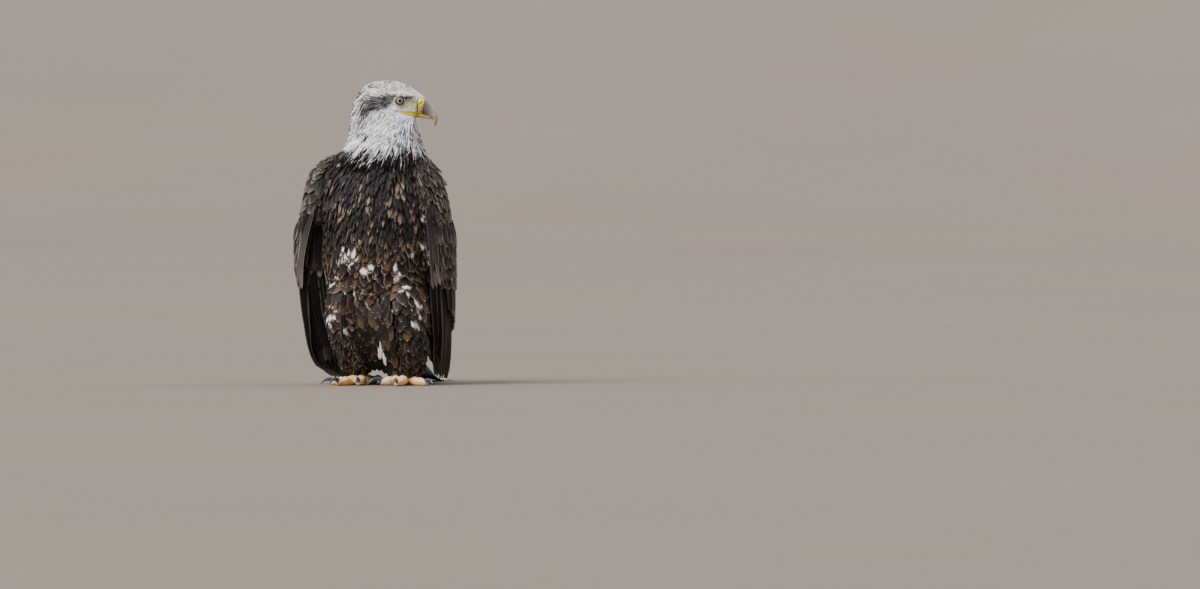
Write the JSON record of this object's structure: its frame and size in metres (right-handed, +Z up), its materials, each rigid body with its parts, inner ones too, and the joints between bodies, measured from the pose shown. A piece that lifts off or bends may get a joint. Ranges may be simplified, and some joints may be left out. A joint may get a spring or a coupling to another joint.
{
  "type": "bald eagle",
  "caption": "Life-size still model of a young bald eagle standing upright, head turned aside, wings drooped, tail laid on the floor.",
  "frame": {"origin": "on the floor under the middle of the bounding box", "axes": "-Y the way the breast faces, +X towards the bird's own left, +Z up"},
  "size_m": [0.3094, 0.491, 0.5791],
  "materials": {
    "white_plumage": "white feathers with dark flecks and a brown patch behind the eye",
    "dark_plumage": "dark brown feathers, mottled white and tan on the belly",
    "wing_coverts": "brown scale-like feathers with pale edges",
    "flight_feathers": "long blackish-brown feathers with a faint sheen",
    "tail_plumage": "white feathers with brown marks at the ends",
    "yellow_scutes": "yellow-orange horny scales",
    "yellow_cere": "smooth waxy yellow skin",
    "horn": "brownish horn, greyer near the root and yellow along the lower edge",
    "claw": "dark blue-grey polished horn",
    "eye": "clear wet surface over a pale tan iris"
  },
  "bodies": {
    "root": {"bill_lower": "horn", "bill_upper": "horn", "cere": "yellow_cere", "claw_left_hind": "claw", "claw_left_inner": "claw", "claw_left_middle": "claw", "claw_left_outer": "claw", "claw_right_hind": "claw", "claw_right_inner": "claw", "claw_right_middle": "claw", "claw_right_outer": "claw", "eye_left": "eye", "eye_right": "eye", "head": "white_plumage", "neck": "white_plumage", "tail_coverts": "tail_plumage", "tail_feathers": "tail_plumage", "tarsus_left": "yellow_scutes", "tarsus_right": "yellow_scutes", "thigh_left": "dark_plumage", "thigh_right": "dark_plumage", "toe_left_hind": "yellow_scutes", "toe_left_inner": "yellow_scutes", "toe_left_middle": "yellow_scutes", "toe_left_outer": "yellow_scutes", "toe_right_hind": "yellow_scutes", "toe_right_inner": "yellow_scutes", "toe_right_middle": "yellow_scutes", "toe_right_outer": "yellow_scutes", "trunk": "dark_plumage", "wing_left_coverts": "wing_coverts", "wing_left_primaries": "flight_feathers", "wing_left_secondaries": "flight_feathers", "wing_right_coverts": "wing_coverts", "wing_right_primaries": "flight_feathers", "wing_right_secondaries": "flight_feathers"}
  },
  "joints": []
}
